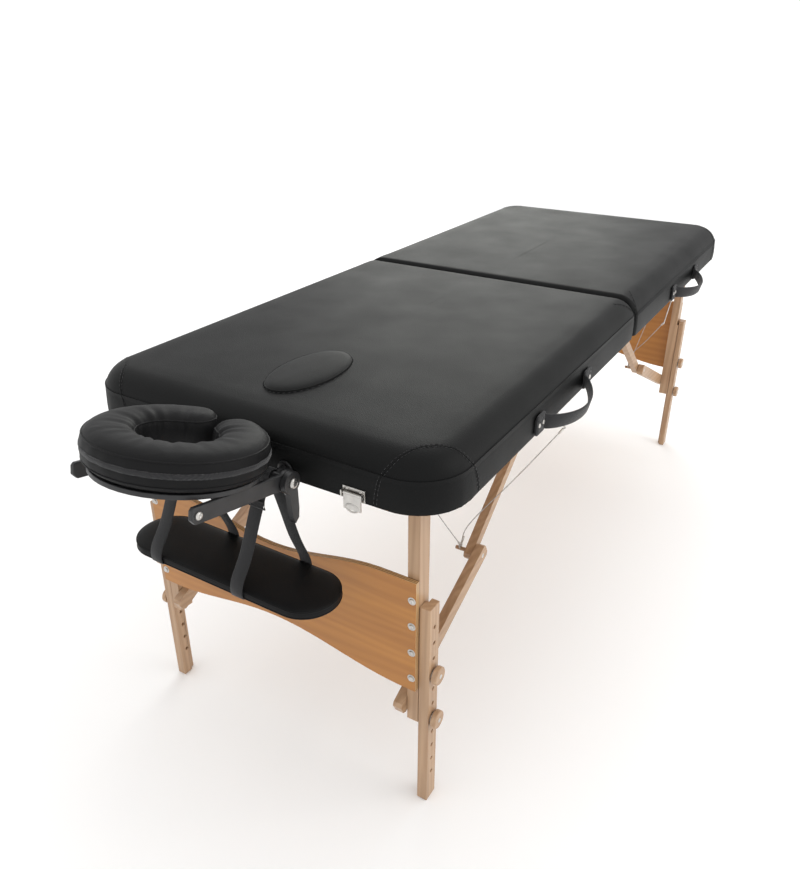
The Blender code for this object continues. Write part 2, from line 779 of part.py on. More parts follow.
def add_shelf():
    """The padded arm shelf."""
    x, y, z = SHELF_CENTRE
    half_width, half_length, half = SHELF_WIDTH / 2, SHELF_LENGTH / 2, SHELF_THICKNESS / 2
    rings = []
    for height, inset in ((-half, 0.003), (-half + 0.003, 0.0), (half - 0.003, 0.0), (half, 0.003)):
        outline = rounded_rectangle(
            (x - half_width + inset, x + half_width - inset),
            (y - half_length + inset, y + half_length - inset),
            (half_width - inset - 0.001, half_width - inset - 0.001),
            8,
        )
        rings.append([(px, py, z + height) for px, py in outline])
    add_node("arm_shelf", loft(rings), "vinyl", (CRADLE_X, 0.0, CRADLE_Z))


def strap_path(front_y, back_y):
    """A sling strap: under the shelf's front edge, up over the cross tube and down to its back edge."""
    x, _, z = SHELF_CENTRE
    half_width, half = SHELF_WIDTH / 2, SHELF_THICKNESS / 2
    top_y = (front_y + back_y) / 2
    over = 0.0128
    clear = 0.0030
    path = [
        (x - half_width + 0.022, front_y, z - half - clear),
        (x - half_width - 0.001, front_y, z - half - clear),
        (x - half_width - clear - 0.001, front_y, z - half * 0.3),
    ]
    for angle in (200, 150, 110, 70, 30, -20):
        turn = math.radians(angle)
        path.append((CRADLE_X + over * math.cos(turn), top_y, CRADLE_Z + over * math.sin(turn)))
    path += [
        (x + half_width + clear + 0.001, back_y, z - half * 0.3),
        (x + half_width + 0.001, back_y, z - half - clear),
        (x + half_width - 0.022, back_y, z - half - clear),
    ]
    return path


def add_strap(side):
    front_y, back_y = {RIGHT: (-0.060, -0.078), LEFT: (0.082, 0.060)}[side]
    strap = ribbon(strap_path(front_y, back_y), (0.0, 1.0, 0.0), 0.025, 0.0025)
    name = node_name("shelf_strap", SIDE_NAMES[side])
    add_node(name, strap, "webbing", (CRADLE_X, 0.0, CRADLE_Z))


def build():
    clear_scene()
    for end in (HEAD, FOOT):
        add_frame(end)
        add_pad(end)
        add_hanger_bar(end)
        add_leg_rod(end)
        add_strut_bar(end)
        add_leg_panel(end)
        add_handle(end)
        for side in (RIGHT, LEFT):
            add_leg(end, side)
            add_extension(end, side)
            for number, label in zip(KNOB_HOLES, ("upper", "lower")):
                add_knob(end, side, number, label)
            add_lower_strut(end, side)
            add_upper_strut(end, side)
            add_cable(end, side)
    add_plug()
    add_hinge()
    add_cradle_frame()
    add_cradle_platform()
    add_face_cushion()
    add_shelf()
    for side in (RIGHT, LEFT):
        add_latch(side)
        add_cradle_arm(side)
        add_cam(side)
        add_strap(side)


build()
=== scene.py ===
"""The looks of the folding massage table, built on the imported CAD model. Metres, +Z up, head end at -X."""

import math

import bmesh
import bpy
import numpy as np
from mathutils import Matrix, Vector
from mathutils.bvhtree import BVHTree


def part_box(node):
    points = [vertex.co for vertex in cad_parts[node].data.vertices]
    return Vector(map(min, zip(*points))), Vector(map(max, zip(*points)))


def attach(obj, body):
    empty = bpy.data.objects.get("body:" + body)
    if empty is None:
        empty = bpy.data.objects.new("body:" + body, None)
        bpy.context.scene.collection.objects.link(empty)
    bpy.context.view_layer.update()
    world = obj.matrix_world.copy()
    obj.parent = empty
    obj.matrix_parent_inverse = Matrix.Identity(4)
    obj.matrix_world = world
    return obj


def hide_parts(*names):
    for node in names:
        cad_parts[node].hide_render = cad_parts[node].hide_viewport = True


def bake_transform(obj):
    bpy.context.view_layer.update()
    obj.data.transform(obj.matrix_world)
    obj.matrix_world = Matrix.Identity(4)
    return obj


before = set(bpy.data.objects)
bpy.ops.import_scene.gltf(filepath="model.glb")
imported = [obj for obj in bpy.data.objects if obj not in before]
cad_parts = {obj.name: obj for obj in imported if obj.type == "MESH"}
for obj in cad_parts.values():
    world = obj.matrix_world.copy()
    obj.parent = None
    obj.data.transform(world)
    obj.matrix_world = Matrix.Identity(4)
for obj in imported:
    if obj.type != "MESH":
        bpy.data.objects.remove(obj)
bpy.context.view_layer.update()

HEAD, FOOT = -1, 1
RIGHT, LEFT = -1, 1
END_NAMES = {HEAD: "head", FOOT: "foot"}
SIDE_NAMES = {RIGHT: "right", LEFT: "left"}
X, Y, Z = Vector((1, 0, 0)), Vector((0, 1, 0)), Vector((0, 0, 1))


SKIN = 0.001
HALF_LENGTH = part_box("foot_frame")[1].x + SKIN
HALF_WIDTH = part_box("foot_frame")[1].y + SKIN
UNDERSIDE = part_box("foot_frame")[0].z
DECK_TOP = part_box("foot_frame")[1].z
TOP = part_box("foot_pad")[1].z
CORNER = 0.090
ROLL = 0.051
MIDDLE_ROLL = 0.35
MIDDLE_X = 0.0026
MIDDLE_CORNER = 0.016
PLUG_LOW, PLUG_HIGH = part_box("breath_plug")
PLUG_GAP = 0.0012
TUBE_RADIUS = 0.010
TUBE_LOW, TUBE_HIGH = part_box("cradle_frame")
PIVOT = Vector((TUBE_LOW.x + TUBE_RADIUS, 0.0, (TUBE_LOW.z + TUBE_HIGH.z) / 2))
CRADLE_TILT = math.radians(12)
FACE_BASE = 0.0235
FACE_ALONG = 0.1089
FACE_HALF = (0.130, 0.140)
FACE_ARM = 0.078
FACE_MOUTH = 0.034
ROD_Y = 0.095
KNEE_X, KNEE_Z = 0.568, 0.368
STRUT_CLEARANCE = 0.0008
HANDLE_NEAR, HANDLE_FAR = 0.350, 0.563
HANDLE_MIDDLE_DROP = 0.018
CABLE_RADIUS = 0.0013
CABLE_TOP_X, CABLE_TOP_Y = 0.838, 0.266
CABLE_KNEE_Y = 0.2303
HOOK_X, HOOK_Y, HOOK_Z = 0.377, 0.357, 0.593
RAIL_HOOK_X = 0.452
PANEL_BOLT_Y = 0.2955
KNOB_THICKNESS = 0.011
FLOOR_REACH = 40.0
FLOOR_DROP = 0.0005
CAMERA_PLACE = (-1.7395, -0.8028, 1.2881)
CAMERA_TURN = (math.radians(62.97), 0.0, math.radians(-58.57))
CAMERA_LENS = 35.02
LIGHT_AIM = Vector((0.0, 0.0, 0.6))


# ---------------------------------------------------------------- materials


class Shader:
    """A Principled material under construction, with short calls for the nodes it is made of."""

    def __init__(self, name, colour, roughness, metallic=0.0):
        self.material = bpy.data.materials.new(name)
        self.material.use_nodes = True
        self.tree = self.material.node_tree
        self.surface = self.tree.nodes["Principled BSDF"]
        self.surface.inputs["Base Color"].default_value = (*colour, 1.0)
        self.surface.inputs["Roughness"].default_value = roughness
        self.surface.inputs["Metallic"].default_value = metallic
        self.height = None
        self.place = self.node("ShaderNodeTexCoord").outputs["Object"]

    def node(self, kind, **settings):
        made = self.tree.nodes.new(kind)
        for key, value in settings.items():
            setattr(made, key, value)
        return made

    def feed(self, socket, value):
        if isinstance(value, bpy.types.NodeSocket):
            self.tree.links.new(value, socket)
        else:
            socket.default_value = value

    def stretched(self, scale):
        mapping = self.node("ShaderNodeMapping")
        self.feed(mapping.inputs["Vector"], self.place)
        mapping.inputs["Scale"].default_value = scale
        return mapping.outputs["Vector"]

    def noise(self, scale, detail=3.0, place=None, distortion=0.0):
        made = self.node("ShaderNodeTexNoise")
        self.feed(made.inputs["Vector"], place or self.place)
        made.inputs["Scale"].default_value = scale
        made.inputs["Detail"].default_value = detail
        made.inputs["Distortion"].default_value = distortion
        return made.outputs["Fac"]

    def cells(self, scale):
        made = self.node("ShaderNodeTexVoronoi", feature="F1")
        self.feed(made.inputs["Vector"], self.place)
        made.inputs["Scale"].default_value = scale
        return made.outputs["Distance"]

    def wave(self, scale, place, distortion=0.0, direction="X"):
        made = self.node("ShaderNodeTexWave", wave_type="BANDS", bands_direction=direction)
        self.feed(made.inputs["Vector"], place)
        made.inputs["Scale"].default_value = scale
        made.inputs["Distortion"].default_value = distortion
        return made.outputs["Fac"]

    def math(self, operation, first, second=0.5):
        made = self.node("ShaderNodeMath", operation=operation)
        self.feed(made.inputs[0], first)
        self.feed(made.inputs[1], second)
        return made.outputs[0]

    def ramp(self, value, low, high, start=0.3, stop=0.7):
        """A colour that goes from low to high as value passes from start to stop."""
        made = self.node("ShaderNodeValToRGB")
        self.feed(made.inputs["Fac"], value)
        made.color_ramp.elements[0].position = start
        made.color_ramp.elements[1].position = stop
        made.color_ramp.elements[0].color = (*low, 1.0)
        made.color_ramp.elements[1].color = (*high, 1.0)
        return made.outputs["Color"]

    def blended(self, share, first, second, blend_type="MIX"):
        made = self.node("ShaderNodeMixRGB", blend_type=blend_type)
        self.feed(made.inputs["Fac"], share)
        self.feed(made.inputs["Color1"], first)
        self.feed(made.inputs["Color2"], second)
        return made.outputs["Color"]

    def range(self, value, low, high):
        made = self.node("ShaderNodeMapRange")
        self.feed(made.inputs["Value"], value)
        made.inputs["To Min"].default_value = low
        made.inputs["To Max"].default_value = high
        return made.outputs["Result"]

    def colour(self, socket):
        self.feed(self.surface.inputs["Base Color"], socket)

    def roughness(self, socket):
        self.feed(self.surface.inputs["Roughness"], socket)

    def bump(self, height, distance, strength=1.0):
        made = self.node("ShaderNodeBump")
        made.inputs["Distance"].default_value = distance
        made.inputs["Strength"].default_value = strength
        self.feed(made.inputs["Height"], height)
        if self.height:
            self.feed(made.inputs["Normal"], self.height)
        self.height = made.outputs["Normal"]
        self.feed(self.surface.inputs["Normal"], self.height)


def vinyl(name, low, high, crease=0.0012):
    """Grained vinyl: small rounded cells, soft undulation and a faint patchy sheen."""
    made = Shader(name, high, 0.45)
    patches = made.noise(3.2, 4.0)
    made.colour(made.ramp(patches, low, high, 0.35, 0.68))
    made.roughness(made.range(made.noise(9.0, 5.0), 0.44, 0.60))
    made.surface.inputs["Specular IOR Level"].default_value = 0.14
    made.bump(made.noise(7.0, 2.0), crease, 0.5)
    made.bump(made.cells(520.0), 0.00035, 0.55)
    made.bump(made.noise(1500.0, 2.0), 0.0001, 0.4)
    return made.material


def wood(name, axis, low, high, fine=1.0):
    """Straight-grained wood: long streaks along axis, growth lines, pores and a satin lacquer."""
    along = {"X": (0.045, 1, 1), "Y": (1, 0.045, 1), "Z": (1, 1, 0.045)}[axis]
    made = Shader(name, high, 0.42)
    streak_place = made.stretched(along)
    streaks = made.noise(70.0 * fine, 6.0, streak_place, 0.6)
    lines = made.wave(34.0 * fine, streak_place, 7.0, "DIAGONAL")
    streak_colour = made.ramp(streaks, low, high, 0.32, 0.66)
    grain = made.blended(0.45, streak_colour, made.ramp(lines, low, high, 0.1, 0.9))
    tone = made.ramp(made.noise(5.0, 2.0), (0.80, 0.78, 0.76), (1.0, 1.0, 1.0), 0.3, 0.7)
    made.colour(made.blended(0.7, grain, tone, "MULTIPLY"))
    made.roughness(made.range(streaks, 0.36, 0.52))
    made.surface.inputs["Coat Weight"].default_value = 0.18
    made.surface.inputs["Coat Roughness"].default_value = 0.22
    made.bump(made.noise(620.0, 3.0, streak_place), 0.00012, 0.6)
    return made.material


def stained_plywood(name):
    """The leg panels: orange stain over flame figure that runs across, with plies on the cut edges."""
    made = Shader(name, (0.46, 0.20, 0.05), 0.38)
    place = made.stretched((1.0, 0.10, 1.0))
    figure = made.noise(26.0, 7.0, place, 1.4)
    lines = made.wave(16.0, place, 9.0, "Z")
    face = made.blended(
        0.4,
        made.ramp(figure, (0.34, 0.125, 0.014), (0.46, 0.190, 0.028), 0.30, 0.70),
        made.ramp(lines, (0.36, 0.135, 0.016), (0.44, 0.180, 0.026), 0.1, 0.9),
    )
    plies = made.wave(95.0, made.stretched((1.0, 0.0, 0.0)), 0.0, "X")
    edge = made.ramp(plies, (0.22, 0.10, 0.03), (0.62, 0.40, 0.19), 0.35, 0.55)
    normal = made.node("ShaderNodeSeparateXYZ")
    made.feed(normal.inputs[0], made.node("ShaderNodeTexCoord").outputs["Normal"])
    facing = made.math("ABSOLUTE", normal.outputs["X"], 0.0)
    made.colour(made.blended(made.math("GREATER_THAN", facing, 0.5), edge, face))
    made.roughness(made.range(figure, 0.30, 0.46))
    made.surface.inputs["Coat Weight"].default_value = 0.25
    made.surface.inputs["Coat Roughness"].default_value = 0.18
    made.bump(made.noise(500.0, 3.0, place), 0.0001, 0.5)
    return made.material


def webbing(name, low, high):
    """Flat woven strap: a herringbone of fine ribs with fuzz."""
    made = Shader(name, high, 0.82)
    ribs = made.wave(330.0, made.place, 0.6, "DIAGONAL")
    cross = made.wave(260.0, made.place, 0.6, "Z")
    weave = made.math("MULTIPLY", ribs, cross)
    made.colour(made.ramp(weave, low, high, 0.1, 0.8))
    made.surface.inputs["Sheen Weight"].default_value = 0.25
    made.surface.inputs["Sheen Roughness"].default_value = 0.4
    made.bump(weave, 0.0004, 0.8)
    made.bump(made.noise(1800.0, 2.0), 0.0001, 0.6)
    return made.material


def plain_metal(name, colour, roughness, scratch=0.08):
    """Metal or painted metal with brushed variation in its gloss."""
    made = Shader(name, colour, roughness, 1.0)
    brushed = made.noise(180.0, 4.0, made.stretched((0.2, 1.0, 1.0)))
    made.roughness(made.range(brushed, roughness - scratch, roughness + scratch))
    dark = tuple(0.75 * value for value in colour)
    made.colour(made.ramp(made.noise(60.0, 4.0), dark, colour, 0.25, 0.6))
    made.bump(brushed, 0.00004, 0.4)
    return made.material


def moulded(name, low, high, roughness):
    """Black moulded plastic or powder coat with a fine orange-peel texture."""
    made = Shader(name, high, roughness)
    made.colour(made.ramp(made.noise(40.0, 4.0), low, high, 0.3, 0.7))
    made.roughness(made.range(made.noise(25.0, 5.0), roughness - 0.08, roughness + 0.10))
    made.bump(made.noise(900.0, 2.0), 0.00012, 0.6)
    return made.material


BEECH_LOW, BEECH_HIGH = (0.37, 0.220, 0.120), (0.50, 0.325, 0.195)
VINYL = vinyl("table_vinyl", (0.0030, 0.0032, 0.0033), (0.0060, 0.0064, 0.0062))
CRADLE_VINYL = vinyl("cradle_vinyl", (0.0036, 0.0036, 0.0038), (0.0072, 0.0072, 0.0076), 0.0020)
WOOD = {axis: wood("beech_" + axis.lower(), axis, BEECH_LOW, BEECH_HIGH) for axis in "XYZ"}
PANEL = stained_plywood("stained_plywood")
WEBBING = webbing("black_webbing", (0.006, 0.006, 0.007), (0.022, 0.022, 0.024))
THREAD = webbing("black_thread", (0.010, 0.010, 0.011), (0.030, 0.030, 0.032))
ZIP = webbing("zip_tape", (0.008, 0.008, 0.009), (0.026, 0.026, 0.028))
STEEL = plain_metal("zinc_steel", (0.62, 0.60, 0.57), 0.34)
CABLE = plain_metal("cable_steel", (0.50, 0.49, 0.48), 0.42)
BLACK_METAL = moulded("black_powder_coat", (0.008, 0.008, 0.009), (0.018, 0.018, 0.019), 0.34)
PLASTIC = moulded("black_plastic", (0.010, 0.010, 0.011), (0.022, 0.022, 0.023), 0.42)


# ---------------------------------------------------------------- mesh helpers


def circle(count):
    """The angles of count points evenly round a circle."""
    return [2 * math.pi * k / count for k in range(count)]


def piece(name, verts, faces, material, smooth=True):
    mesh = bpy.data.meshes.new(name)
    mesh.from_pydata([tuple(point) for point in verts], [], faces)
    mesh.validate()
    bm = bmesh.new()
    bm.from_mesh(mesh)
    bmesh.ops.recalc_face_normals(bm, faces=bm.faces)
    bm.to_mesh(mesh)
    bm.free()
    mesh.polygons.foreach_set("use_smooth", [smooth] * len(mesh.polygons))
    mesh.materials.append(material)
    made = bpy.data.objects.new(name, mesh)
    bpy.context.scene.collection.objects.link(made)
    return made


def grid_faces(rings, around, closed=True):
    """Quads between consecutive rings of points."""
    faces = []
    columns = around if closed else around - 1
    for i in range(rings - 1):
        for j in range(columns):
            k = (j + 1) % around
            faces.append((i * around + j, i * around + k, (i + 1) * around + k, (i + 1) * around + j))
    return faces


def lofted(name, rings, material, caps=True, smooth=True):
    around = len(rings[0])
    verts = [point for ring in rings for point in ring]
    faces = grid_faces(len(rings), around)
    if caps:
        faces.append(tuple(reversed(range(around))))
        faces.append(tuple(range(len(verts) - around, len(verts))))
    return piece(name, verts, faces, material, smooth)


def smooth_path(points, steps=8):
    """A Catmull-Rom curve through the points."""
    points = [Vector(point) for point in points]
    padded = [2 * points[0] - points[1], *points, 2 * points[-1] - points[-2]]
    curve = []
    for a, b, c, d in zip(padded, padded[1:], padded[2:], padded[3:]):
        for step in range(steps):
            t = step / steps
            square = (2 * a - 5 * b + 4 * c - d) * t**2
            cube = (3 * b - a - 3 * c + d) * t**3
            curve.append(0.5 * (2 * b + (c - a) * t + square + cube))
    curve.append(points[-1])
    return curve


def directions(path, closed=False):
    count = len(path)
    made = []
    for i in range(count):
        if closed:
            step = path[(i + 1) % count] - path[i - 1]
        else:
            step = path[min(i + 1, count - 1)] - path[max(i - 1, 0)]
        made.append(step.normalized())
    return made


def tube(name, path, radius, material, sides=8, closed=False):
    """A round tube along path, with rounded shading and flat ends."""
    across = Z if abs(directions(path)[0].z) < 0.9 else X
    rings = []
    for point, ahead in zip(path, directions(path, closed)):
        across = (across - ahead * across.dot(ahead)).normalized()
        other = ahead.cross(across)
        rings.append([point + (across * math.cos(a) + other * math.sin(a)) * radius for a in circle(sides)])
    if closed:
        rings.append(rings[0])
    return lofted(name, rings, material, caps=not closed)


def strap(name, path, normals, width, thickness, material):
    """A flat strap with rounded edges along path; normals point out of its face."""
    half, edge = width / 2, thickness / 2
    section = [(-half, -edge * 0.4), (-half + edge, -edge), (half - edge, -edge), (half, -edge * 0.4)]
    section += [(-u, -v) for u, v in section]
    rings = []
    for point, ahead, normal in zip(path, directions(path), normals):
        normal = (normal - ahead * normal.dot(ahead)).normalized()
        across = ahead.cross(normal)
        rings.append([point + across * u + normal * v for u, v in section])
    return lofted(name, rings, material)


def round_head(name, centre, axis, radius, height, material, dome=0.35, recess=0.0, sides=28):
    """A domed bolt head standing on a face, with a socket in it where recess is above 0."""
    axis = Vector(axis).normalized()
    across = axis.orthogonal().normalized()
    other = axis.cross(across)
    profile = [(1.0, -0.25), (1.0, 0.35), (0.96, 0.6), (0.80, 0.6 + dome * 0.7), (0.5, 0.6 + dome)]
    if recess:
        profile += [(0.46, 0.6 + dome), (0.42, 0.6 + dome - recess), (0.05, 0.55 + dome - recess)]
    else:
        profile += [(0.05, 0.62 + dome)]
    rings = []
    for share, level in profile:
        middle = Vector(centre) + axis * height * level
        size = radius * share
        rings.append([middle + (across * math.cos(a) + other * math.sin(a)) * size for a in circle(sides)])
    return lofted(name, rings, material)


def merged(name, parts):
    """One object from several, each keeping its material."""
    bm = bmesh.new()
    materials = []
    for part in parts:
        slots = []
        for material in part.data.materials:
            if material not in materials:
                materials.append(material)
            slots.append(materials.index(material))
        before = len(bm.faces)
        bm.from_mesh(part.data)
        bm.faces.ensure_lookup_table()
        for face in bm.faces[before:]:
            face.material_index = slots[face.material_index]
        bpy.data.objects.remove(part)
    mesh = bpy.data.meshes.new(name)
    bm.to_mesh(mesh)
    bm.free()
    for material in materials:
        mesh.materials.append(material)
    made = bpy.data.objects.new(name, mesh)
    bpy.context.scene.collection.objects.link(made)
    return made


def settled(obj):
    """obj with its modifiers applied."""
    graph = bpy.context.evaluated_depsgraph_get()
    mesh = bpy.data.meshes.new_from_object(obj.evaluated_get(graph))
    obj.modifiers.clear()
    obj.data = mesh
    return obj


def cut_away(obj, cutter):
    modifier = obj.modifiers.new("cut", "BOOLEAN")
    modifier.operation = "DIFFERENCE"
    modifier.solver = "EXACT"
    modifier.object = cutter
    settled(obj)
    bpy.data.objects.remove(cutter)
    return obj


def surface_of(obj):
    return BVHTree.FromPolygons(
        [vertex.co.copy() for vertex in obj.data.vertices], [tuple(f.vertices) for f in obj.data.polygons]
    )


def on_surface(tree, path, lift):
    """The path moved onto a surface, then out of it by lift. It gives the points and the normals."""
    points, normals = [], []
    for point in path:
        place, normal, _, _ = tree.find_nearest(Vector(point))
        points.append(place + normal * lift)
        normals.append(normal)
    return points, normals


def stitches(name, path, normals, offset, length=0.0032, gap=0.0020, radius=0.00042):
    """A row of short thread stitches beside path."""
    parts = []
    travelled, start = 0.0, None
    for a, b, normal, ahead in zip(path, path[1:], normals, directions(path)):
        side = ahead.cross(normal).normalized() * offset
        if start is None and travelled >= gap:
            start, travelled = a + side, 0.0
        travelled += (b - a).length
        if start is not None and travelled >= length:
            dash = [start, (start + b + side) / 2 + normal * radius * 0.6, b + side]
            parts.append(tube(name, dash, radius, THREAD, 5))
            start, travelled = None, 0.0
    return merged(name, parts)


def inflated(obj, voxel, pressure, cap, pinned=None, frames=20):
    """obj swollen by a short cloth simulation, with no point moved further than cap."""
    remesh = obj.modifiers.new("remesh", "REMESH")
    remesh.mode = "VOXEL"
    remesh.voxel_size = voxel
    settled(obj)
    start = np.array([vertex.co for vertex in obj.data.vertices])
    cloth = obj.modifiers.new("cloth", "CLOTH")
    cloth.settings.use_pressure = True
    cloth.settings.uniform_pressure_force = pressure
    cloth.settings.quality = 4
    cloth.settings.tension_stiffness = 12
    cloth.settings.shear_stiffness = 8
    cloth.settings.bending_stiffness = 0.4
    cloth.settings.effector_weights.gravity = 0.0
    cloth.point_cache.frame_start = 1
    cloth.point_cache.frame_end = frames
    if pinned is not None:
        group = obj.vertex_groups.new(name="held")
        group.add([i for i, point in enumerate(start) if pinned(point)], 1.0, "REPLACE")
        cloth.settings.vertex_group_mass = "held"
    for number in range(1, frames + 1):
        bpy.context.scene.frame_set(number)
    settled(obj)
    obj.vertex_groups.clear()
    bpy.context.scene.frame_set(1)
    moved = np.array([vertex.co for vertex in obj.data.vertices]) - start
    length = np.linalg.norm(moved, axis=1, keepdims=True)
    moved *= np.minimum(1.0, cap / np.maximum(length, 1e-9))
    obj.data.vertices.foreach_set("co", (start + moved).ravel())
    soften = obj.modifiers.new("soften", "SMOOTH")
    soften.iterations = 4
    finer = obj.modifiers.new("finer", "SUBSURF")
    finer.levels = finer.render_levels = 1
    settled(obj)
    obj.data.polygons.foreach_set("use_smooth", [True] * len(obj.data.polygons))
    return obj


# ---------------------------------------------------------------- table top


def table_outline(end, inset, straight=26, corner=12):
    """The plan of one half, drawn in by inset, less so at the middle edge. Outlines match point by point."""
    outer = max(CORNER - inset, 0.004)
    middle = max(MIDDLE_CORNER - inset * 0.3, 0.004)
    low_x, high_x = MIDDLE_X + inset * MIDDLE_ROLL, HALF_LENGTH - inset
    half = HALF_WIDTH - inset
    corners = [
        (high_x - outer, half - outer, outer, 0.0),
        (low_x + middle, half - middle, middle, 90.0),
        (low_x + middle, -half + middle, middle, 180.0),
        (high_x - outer, -half + outer, outer, 270.0),
    ]
    points = []
    for i, (cx, cy, radius, first) in enumerate(corners):
        for step in range(corner + 1):
            angle = math.radians(first + 90.0 * step / corner)
            points.append((cx + radius * math.cos(angle), cy + radius * math.sin(angle)))
        nx, ny, next_radius, next_first = corners[(i + 1) % 4]
        turn = math.radians(next_first)
        target = (nx + next_radius * math.cos(turn), ny + next_radius * math.sin(turn))
        here = points[-1]
        for step in range(1, straight):
            share = step / straight
            points.append((here[0] + (target[0] - here[0]) * share, here[1] + (target[1] - here[1]) * share))
    return [(end * x, y) for x, y in points]


def crown(x, y):
    """The foam's slight rise towards the middle of a half."""
    middle = abs(abs(x) - HALF_LENGTH / 2) / (HALF_LENGTH / 2)
    across = abs(y) / HALF_WIDTH
    rise = max(0.0, 1 - middle**2) * max(0.0, 1 - across**2)
    return 0.0028 * rise * (2 - rise)


def make_cover(end):
    """The vinyl cover of one half: sides, rolled edge and softly crowned top, closed over the deck."""
    levels = [(0.0008, DECK_TOP + 0.0002), (0.0008, UNDERSIDE + 0.0004)]
    for inset, z in ((0.0002, 0.0002), (0.0, 0.0012), (-0.0006, 0.008), (-0.0009, 0.020), (-0.0006, 0.032)):
        levels.append((inset, UNDERSIDE + z))
    steps = 12
    for step in range(steps + 1):
        angle = math.pi / 2 * step / steps
        levels.append((ROLL * (1 - math.cos(angle)), TOP - ROLL + ROLL * math.sin(angle)))
    rings = [[(x, y, z) for x, y in table_outline(end, inset)] for inset, z in levels]
    for inset in (0.060, 0.075, 0.095, 0.120, 0.150, 0.185, 0.225, 0.265, 0.305, 0.340, 0.362):
        rings.append([(x, y, TOP + crown(x, y)) for x, y in table_outline(end, inset)])
    name = END_NAMES[end] + "_cover"
    cover = lofted(name, rings, VINYL)
    if end == HEAD:
        cut_away(cover, plug_hole())
        cover.data.polygons.foreach_set("use_smooth", [True] * len(cover.data.polygons))
        sharp = cover.modifiers.new("sharp_rim", "EDGE_SPLIT")
        sharp.split_angle = math.radians(60)
    gather(cover, end)
    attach(cover, "table_" + END_NAMES[end])
    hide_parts(END_NAMES[end] + "_pad")
    return cover


def gather(cover, end):
    """Pulls the vinyl into soft pleats below the outer corners."""
    count = len(cover.data.vertices)
    points = np.zeros(count * 3)
    cover.data.vertices.foreach_get("co", points)
    points = points.reshape(-1, 3)
    centre_x = end * (HALF_LENGTH - CORNER)
    for side in (RIGHT, LEFT):
        centre_y = side * (HALF_WIDTH - CORNER)
        dx, dy = (points[:, 0] - centre_x) * end, (points[:, 1] - centre_y) * side
        angle = np.arctan2(dy, dx)
        outside = (dx > 0) & (dy > 0) & (points[:, 2] < TOP - ROLL * 0.55)
        low = np.clip((TOP - ROLL * 0.6 - points[:, 2]) / 0.05, 0.0, 1.0)
        ripple = np.sin(angle * 26.0 + side) * 0.0011 * low**1.3
        length = np.maximum(np.hypot(dx, dy), 1e-6)
        points[outside, 0] += (end * dx / length * ripple)[outside]
        points[outside, 1] += (side * dy / length * ripple)[outside]
    cover.data.vertices.foreach_set("co", points.ravel())


def plug_ring(inset, z):
    """The breath plug's oval outline at height z, drawn in by inset."""
    centre = (PLUG_LOW + PLUG_HIGH) / 2
    half = (PLUG_HIGH - PLUG_LOW) / 2
    ring = []
    for a in circle(96):
        x = centre.x + (half.x - inset) * math.cos(a)
        y = centre.y + (half.y - inset) * math.sin(a)
        ring.append(Vector((x, y, z)))
    return ring


def plug_hole():
    return lofted("plug_hole", [plug_ring(-PLUG_GAP, z) for z in (DECK_TOP - 0.02, TOP + 0.03)], VINYL)


def make_plug():
    """The padded oval plug: a crowned top over a short band, with a piped seam round its edge."""
    top = PLUG_HIGH.z
    levels = [(0.004, PLUG_LOW.z), (0.001, PLUG_LOW.z + 0.003), (0.0008, TOP - 0.002), (0.0, top - 0.0070)]
    levels += [(0.0015, top - 0.0045), (0.004, top - 0.0028), (0.009, top - 0.0008), (0.018, top + 0.0008)]
    levels += [(0.030, top + 0.0018), (0.043, top + 0.0024), (0.0545, top + 0.0026)]
    plug = lofted("breath_plug_pad", [plug_ring(inset, z) for inset, z in levels], VINYL)
    path, normals = on_surface(surface_of(plug), plug_ring(0.0016, top - 0.0046), 0.0001)
    welt = tube("breath_plug_welt", path, 0.0011, VINYL, 8, closed=True)
    row = stitches("breath_plug_stitches", [*path, path[0]], [*normals, normals[0]], 0.0032)
    for made in (plug, welt, row):
        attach(made, "breath_plug")
    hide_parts("breath_plug")


def corner_seam(end, side):
    """The curved seam of the patch over a corner, from the end round the top to the long side."""
    stations = (
        (0.001, -0.112, UNDERSIDE + 0.002),
        (0.001, -0.105, UNDERSIDE + 0.045),
        (-0.008, -0.092, TOP - 0.020),
        (-0.026, -0.078, TOP + 0.001),
        (-0.058, -0.058, TOP + 0.006),
        (-0.080, -0.026, TOP + 0.002),
        (-0.092, -0.008, TOP - 0.020),
        (-0.105, 0.001, UNDERSIDE + 0.045),
        (-0.118, 0.001, UNDERSIDE + 0.002),
    )
    return smooth_path([(end * (HALF_LENGTH + x), side * (HALF_WIDTH + y), z) for x, y, z in stations], 16)


def sewn_line(name, tree, path, body, radius=0.0007, rows=(0.0026, -0.0026)):
    """A seam on a surface: a raised line with a row of stitches on each side."""
    points, normals = on_surface(tree, path, 0.0)
    parts = [tube(name, points, radius, VINYL, 6)]
    for offset in rows:
        lifted = [point + normal * 0.0001 for point, normal in zip(points, normals)]
        parts.append(stitches(name, lifted, normals, offset))
    seam = merged(name, parts)
    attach(seam, body)


def make_top():
    for end in (HEAD, FOOT):
        cover = make_cover(end)
        tree = surface_of(cover)
        body = "table_" + END_NAMES[end]
        for side in (RIGHT, LEFT):
            name = "_".join((END_NAMES[end], SIDE_NAMES[side], "corner_seam"))
            sewn_line(name, tree, corner_seam(end, side), body)
            dart = smooth_path(
                [
                    (end * 0.060, side * (HALF_WIDTH - 0.040), TOP - 0.002),
                    (end * 0.030, side * (HALF_WIDTH - 0.022), TOP - 0.014),
                    (end * 0.008, side * (HALF_WIDTH - 0.002), TOP - 0.034),
                    (end * 0.006, side * HALF_WIDTH, UNDERSIDE + 0.030),
                ],
                12,
            )
            name = "_".join((END_NAMES[end], SIDE_NAMES[side], "middle_dart"))
            sewn_line(name, tree, dart, body, rows=(0.0024,))
        make_hem(end, body)
    make_plug()


